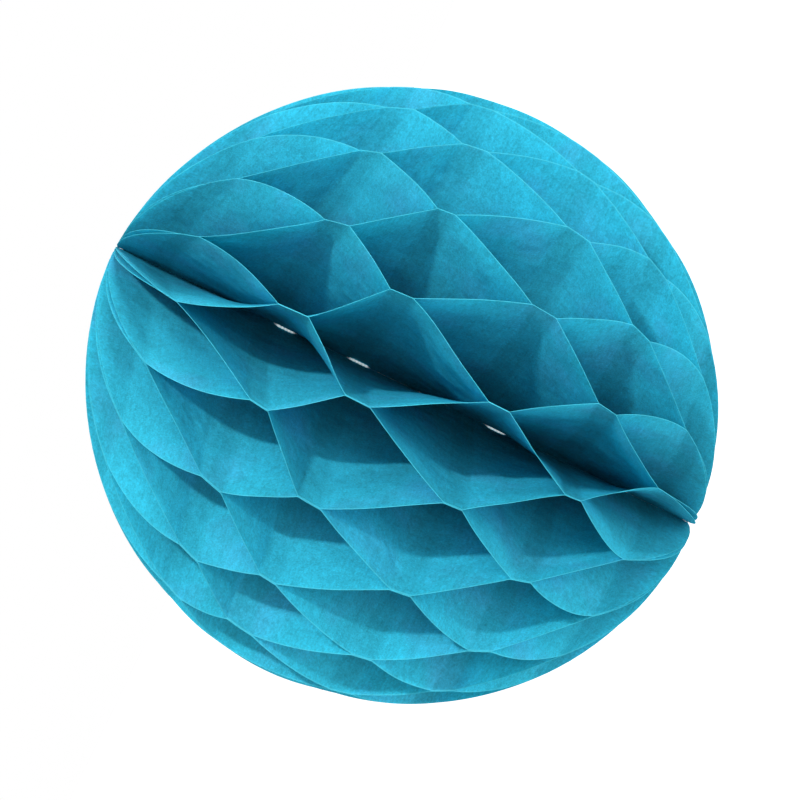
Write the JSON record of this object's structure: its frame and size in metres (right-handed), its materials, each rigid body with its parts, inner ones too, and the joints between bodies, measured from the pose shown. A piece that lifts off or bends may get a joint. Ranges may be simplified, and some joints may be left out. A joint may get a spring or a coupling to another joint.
{
  "type": "paper honeycomb ball",
  "caption": "Hanging paper honeycomb ball: tissue leaves fanned all round a stitched spine, folding flat between two card covers.",
  "frame": {"origin": "middle of the stitched spine, which is the ball's centre", "axes": "+Z along the spine to the end that the ball hangs by; +Y from the spine to the line where the two covers meet"},
  "size_m": [0.0948, 0.0949, 0.0998],
  "materials": {
    "tissue": "matte translucent tissue",
    "card": "matte card",
    "tape": "satin",
    "thread": "matte"
  },
  "bodies": {
    "spine": {"stitching_thread": "thread", "knot_top": "thread", "knot_bottom": "thread", "cover_first": "card", "closing_tape": "tape"},
    "cover_last": {"cover_last": "card"},
    "leaf_01": {"leaf_01": "tissue"},
    "leaf_02": {"leaf_02": "tissue"},
    "leaf_03": {"leaf_03": "tissue"},
    "leaf_04": {"leaf_04": "tissue"},
    "leaf_05": {"leaf_05": "tissue"},
    "leaf_06": {"leaf_06": "tissue"},
    "leaf_07": {"leaf_07": "tissue"},
    "leaf_08": {"leaf_08": "tissue"},
    "leaf_09": {"leaf_09": "tissue"},
    "leaf_10": {"leaf_10": "tissue"},
    "leaf_11": {"leaf_11": "tissue"},
    "leaf_12": {"leaf_12": "tissue"},
    "leaf_13": {"leaf_13": "tissue"},
    "leaf_14": {"leaf_14": "tissue"},
    "leaf_15": {"leaf_15": "tissue"},
    "leaf_16": {"leaf_16": "tissue"},
    "leaf_17": {"leaf_17": "tissue"},
    "leaf_18": {"leaf_18": "tissue"},
    "leaf_19": {"leaf_19": "tissue"},
    "leaf_20": {"leaf_20": "tissue"},
    "leaf_21": {"leaf_21": "tissue"},
    "leaf_22": {"leaf_22": "tissue"},
    "leaf_23": {"leaf_23": "tissue"},
    "leaf_24": {"leaf_24": "tissue"},
    "leaf_25": {"leaf_25": "tissue"},
    "leaf_26": {"leaf_26": "tissue"},
    "leaf_27": {"leaf_27": "tissue"},
    "leaf_28": {"leaf_28": "tissue"},
    "leaf_29": {"leaf_29": "tissue"},
    "leaf_30": {"leaf_30": "tissue"},
    "leaf_31": {"leaf_31": "tissue"},
    "leaf_32": {"leaf_32": "tissue"},
    "leaf_33": {"leaf_33": "tissue"},
    "leaf_34": {"leaf_34": "tissue"},
    "leaf_35": {"leaf_35": "tissue"},
    "leaf_36": {"leaf_36": "tissue"},
    "leaf_37": {"leaf_37": "tissue"},
    "leaf_38": {"leaf_38": "tissue"},
    "leaf_39": {"leaf_39": "tissue"},
    "leaf_40": {"leaf_40": "tissue"}
  },
  "joints": [
    {"name": "fan_fold", "type": "hinge", "parent": "spine", "child": "cover_last", "pos_m": [0, 0, 0], "axis": [0, 0, 1], "range_deg": [-338, 0]},
    {"name": "leaf_01_turn", "type": "hinge", "parent": "spine", "child": "leaf_01", "pos_m": [0, 0, 0], "axis": [0, 0, 1], "range_deg": [-3.25, 0]},
    {"name": "leaf_02_turn", "type": "hinge", "parent": "spine", "child": "leaf_02", "pos_m": [0, 0, 0], "axis": [0, 0, 1], "range_deg": [-11.75, 0]},
    {"name": "leaf_03_turn", "type": "hinge", "parent": "spine", "child": "leaf_03", "pos_m": [0, 0, 0], "axis": [0, 0, 1], "range_deg": [-20.25, 0]},
    {"name": "leaf_04_turn", "type": "hinge", "parent": "spine", "child": "leaf_04", "pos_m": [0, 0, 0], "axis": [0, 0, 1], "range_deg": [-28.75, 0]},
    {"name": "leaf_05_turn", "type": "hinge", "parent": "spine", "child": "leaf_05", "pos_m": [0, 0, 0], "axis": [0, 0, 1], "range_deg": [-37.25, 0]},
    {"name": "leaf_06_turn", "type": "hinge", "parent": "spine", "child": "leaf_06", "pos_m": [0, 0, 0], "axis": [0, 0, 1], "range_deg": [-45.75, 0]},
    {"name": "leaf_07_turn", "type": "hinge", "parent": "spine", "child": "leaf_07", "pos_m": [0, 0, 0], "axis": [0, 0, 1], "range_deg": [-54.25, 0]},
    {"name": "leaf_08_turn", "type": "hinge", "parent": "spine", "child": "leaf_08", "pos_m": [0, 0, 0], "axis": [0, 0, 1], "range_deg": [-62.75, 0]},
    {"name": "leaf_09_turn", "type": "hinge", "parent": "spine", "child": "leaf_09", "pos_m": [0, 0, 0], "axis": [0, 0, 1], "range_deg": [-71.25, 0]},
    {"name": "leaf_10_turn", "type": "hinge", "parent": "spine", "child": "leaf_10", "pos_m": [0, 0, 0], "axis": [0, 0, 1], "range_deg": [-79.75, 0]},
    {"name": "leaf_11_turn", "type": "hinge", "parent": "spine", "child": "leaf_11", "pos_m": [0, 0, 0], "axis": [0, 0, 1], "range_deg": [-88.25, 0]},
    {"name": "leaf_12_turn", "type": "hinge", "parent": "spine", "child": "leaf_12", "pos_m": [0, 0, 0], "axis": [0, 0, 1], "range_deg": [-96.75, 0]},
    {"name": "leaf_13_turn", "type": "hinge", "parent": "spine", "child": "leaf_13", "pos_m": [0, 0, 0], "axis": [0, 0, 1], "range_deg": [-105.25, 0]},
    {"name": "leaf_14_turn", "type": "hinge", "parent": "spine", "child": "leaf_14", "pos_m": [0, 0, 0], "axis": [0, 0, 1], "range_deg": [-113.75, 0]},
    {"name": "leaf_15_turn", "type": "hinge", "parent": "spine", "child": "leaf_15", "pos_m": [0, 0, 0], "axis": [0, 0, 1], "range_deg": [-122.25, 0]},
    {"name": "leaf_16_turn", "type": "hinge", "parent": "spine", "child": "leaf_16", "pos_m": [0, 0, 0], "axis": [0, 0, 1], "range_deg": [-130.75, 0]},
    {"name": "leaf_17_turn", "type": "hinge", "parent": "spine", "child": "leaf_17", "pos_m": [0, 0, 0], "axis": [0, 0, 1], "range_deg": [-139.25, 0]},
    {"name": "leaf_18_turn", "type": "hinge", "parent": "spine", "child": "leaf_18", "pos_m": [0, 0, 0], "axis": [0, 0, 1], "range_deg": [-147.75, 0]},
    {"name": "leaf_19_turn", "type": "hinge", "parent": "spine", "child": "leaf_19", "pos_m": [0, 0, 0], "axis": [0, 0, 1], "range_deg": [-156.25, 0]},
    {"name": "leaf_20_turn", "type": "hinge", "parent": "spine", "child": "leaf_20", "pos_m": [0, 0, 0], "axis": [0, 0, 1], "range_deg": [-164.75, 0]},
    {"name": "leaf_21_turn", "type": "hinge", "parent": "spine", "child": "leaf_21", "pos_m": [0, 0, 0], "axis": [0, 0, 1], "range_deg": [-173.25, 0]},
    {"name": "leaf_22_turn", "type": "hinge", "parent": "spine", "child": "leaf_22", "pos_m": [0, 0, 0], "axis": [0, 0, 1], "range_deg": [-181.75, 0]},
    {"name": "leaf_23_turn", "type": "hinge", "parent": "spine", "child": "leaf_23", "pos_m": [0, 0, 0], "axis": [0, 0, 1], "range_deg": [-190.25, 0]},
    {"name": "leaf_24_turn", "type": "hinge", "parent": "spine", "child": "leaf_24", "pos_m": [0, 0, 0], "axis": [0, 0, 1], "range_deg": [-198.75, 0]},
    {"name": "leaf_25_turn", "type": "hinge", "parent": "spine", "child": "leaf_25", "pos_m": [0, 0, 0], "axis": [0, 0, 1], "range_deg": [-207.25, 0]},
    {"name": "leaf_26_turn", "type": "hinge", "parent": "spine", "child": "leaf_26", "pos_m": [0, 0, 0], "axis": [0, 0, 1], "range_deg": [-215.75, 0]},
    {"name": "leaf_27_turn", "type": "hinge", "parent": "spine", "child": "leaf_27", "pos_m": [0, 0, 0], "axis": [0, 0, 1], "range_deg": [-224.25, 0]},
    {"name": "leaf_28_turn", "type": "hinge", "parent": "spine", "child": "leaf_28", "pos_m": [0, 0, 0], "axis": [0, 0, 1], "range_deg": [-232.75, 0]},
    {"name": "leaf_29_turn", "type": "hinge", "parent": "spine", "child": "leaf_29", "pos_m": [0, 0, 0], "axis": [0, 0, 1], "range_deg": [-241.25, 0]},
    {"name": "leaf_30_turn", "type": "hinge", "parent": "spine", "child": "leaf_30", "pos_m": [0, 0, 0], "axis": [0, 0, 1], "range_deg": [-249.75, 0]},
    {"name": "leaf_31_turn", "type": "hinge", "parent": "spine", "child": "leaf_31", "pos_m": [0, 0, 0], "axis": [0, 0, 1], "range_deg": [-258.25, 0]},
    {"name": "leaf_32_turn", "type": "hinge", "parent": "spine", "child": "leaf_32", "pos_m": [0, 0, 0], "axis": [0, 0, 1], "range_deg": [-266.75, 0]},
    {"name": "leaf_33_turn", "type": "hinge", "parent": "spine", "child": "leaf_33", "pos_m": [0, 0, 0], "axis": [0, 0, 1], "range_deg": [-275.25, 0]},
    {"name": "leaf_34_turn", "type": "hinge", "parent": "spine", "child": "leaf_34", "pos_m": [0, 0, 0], "axis": [0, 0, 1], "range_deg": [-283.75, 0]},
    {"name": "leaf_35_turn", "type": "hinge", "parent": "spine", "child": "leaf_35", "pos_m": [0, 0, 0], "axis": [0, 0, 1], "range_deg": [-292.25, 0]},
    {"name": "leaf_36_turn", "type": "hinge", "parent": "spine", "child": "leaf_36", "pos_m": [0, 0, 0], "axis": [0, 0, 1], "range_deg": [-300.75, 0]},
    {"name": "leaf_37_turn", "type": "hinge", "parent": "spine", "child": "leaf_37", "pos_m": [0, 0, 0], "axis": [0, 0, 1], "range_deg": [-309.25, 0]},
    {"name": "leaf_38_turn", "type": "hinge", "parent": "spine", "child": "leaf_38", "pos_m": [0, 0, 0], "axis": [0, 0, 1], "range_deg": [-317.75, 0]},
    {"name": "leaf_39_turn", "type": "hinge", "parent": "spine", "child": "leaf_39", "pos_m": [0, 0, 0], "axis": [0, 0, 1], "range_deg": [-326.25, 0]},
    {"name": "leaf_40_turn", "type": "hinge", "parent": "spine", "child": "leaf_40", "pos_m": [0, 0, 0], "axis": [0, 0, 1], "range_deg": [-334.75, 0]}
  ],
  "couplings": [
    {"joint": "leaf_01_turn", "follows": "fan_fold", "ratio": 0.0096153},
    {"joint": "leaf_02_turn", "follows": "fan_fold", "ratio": 0.034763},
    {"joint": "leaf_03_turn", "follows": "fan_fold", "ratio": 0.059911},
    {"joint": "leaf_04_turn", "follows": "fan_fold", "ratio": 0.085059},
    {"joint": "leaf_05_turn", "follows": "fan_fold", "ratio": 0.11021},
    {"joint": "leaf_06_turn", "follows": "fan_fold", "ratio": 0.13536},
    {"joint": "leaf_07_turn", "follows": "fan_fold", "ratio": 0.1605},
    {"joint": "leaf_08_turn", "follows": "fan_fold", "ratio": 0.18565},
    {"joint": "leaf_09_turn", "follows": "fan_fold", "ratio": 0.2108},
    {"joint": "leaf_10_turn", "follows": "fan_fold", "ratio": 0.23595},
    {"joint": "leaf_11_turn", "follows": "fan_fold", "ratio": 0.26109},
    {"joint": "leaf_12_turn", "follows": "fan_fold", "ratio": 0.28624},
    {"joint": "leaf_13_turn", "follows": "fan_fold", "ratio": 0.31139},
    {"joint": "leaf_14_turn", "follows": "fan_fold", "ratio": 0.33654},
    {"joint": "leaf_15_turn", "follows": "fan_fold", "ratio": 0.36169},
    {"joint": "leaf_16_turn", "follows": "fan_fold", "ratio": 0.38683},
    {"joint": "leaf_17_turn", "follows": "fan_fold", "ratio": 0.41198},
    {"joint": "leaf_18_turn", "follows": "fan_fold", "ratio": 0.43713},
    {"joint": "leaf_19_turn", "follows": "fan_fold", "ratio": 0.46228},
    {"joint": "leaf_20_turn", "follows": "fan_fold", "ratio": 0.48743},
    {"joint": "leaf_21_turn", "follows": "fan_fold", "ratio": 0.51257},
    {"joint": "leaf_22_turn", "follows": "fan_fold", "ratio": 0.53772},
    {"joint": "leaf_23_turn", "follows": "fan_fold", "ratio": 0.56287},
    {"joint": "leaf_24_turn", "follows": "fan_fold", "ratio": 0.58802},
    {"joint": "leaf_25_turn", "follows": "fan_fold", "ratio": 0.61317},
    {"joint": "leaf_26_turn", "follows": "fan_fold", "ratio": 0.63831},
    {"joint": "leaf_27_turn", "follows": "fan_fold", "ratio": 0.66346},
    {"joint": "leaf_28_turn", "follows": "fan_fold", "ratio": 0.68861},
    {"joint": "leaf_29_turn", "follows": "fan_fold", "ratio": 0.71376},
    {"joint": "leaf_30_turn", "follows": "fan_fold", "ratio": 0.73891},
    {"joint": "leaf_31_turn", "follows": "fan_fold", "ratio": 0.76405},
    {"joint": "leaf_32_turn", "follows": "fan_fold", "ratio": 0.7892},
    {"joint": "leaf_33_turn", "follows": "fan_fold", "ratio": 0.81435},
    {"joint": "leaf_34_turn", "follows": "fan_fold", "ratio": 0.8395},
    {"joint": "leaf_35_turn", "follows": "fan_fold", "ratio": 0.86464},
    {"joint": "leaf_36_turn", "follows": "fan_fold", "ratio": 0.88979},
    {"joint": "leaf_37_turn", "follows": "fan_fold", "ratio": 0.91494},
    {"joint": "leaf_38_turn", "follows": "fan_fold", "ratio": 0.94009},
    {"joint": "leaf_39_turn", "follows": "fan_fold", "ratio": 0.96524},
    {"joint": "leaf_40_turn", "follows": "fan_fold", "ratio": 0.99038}
  ]
}
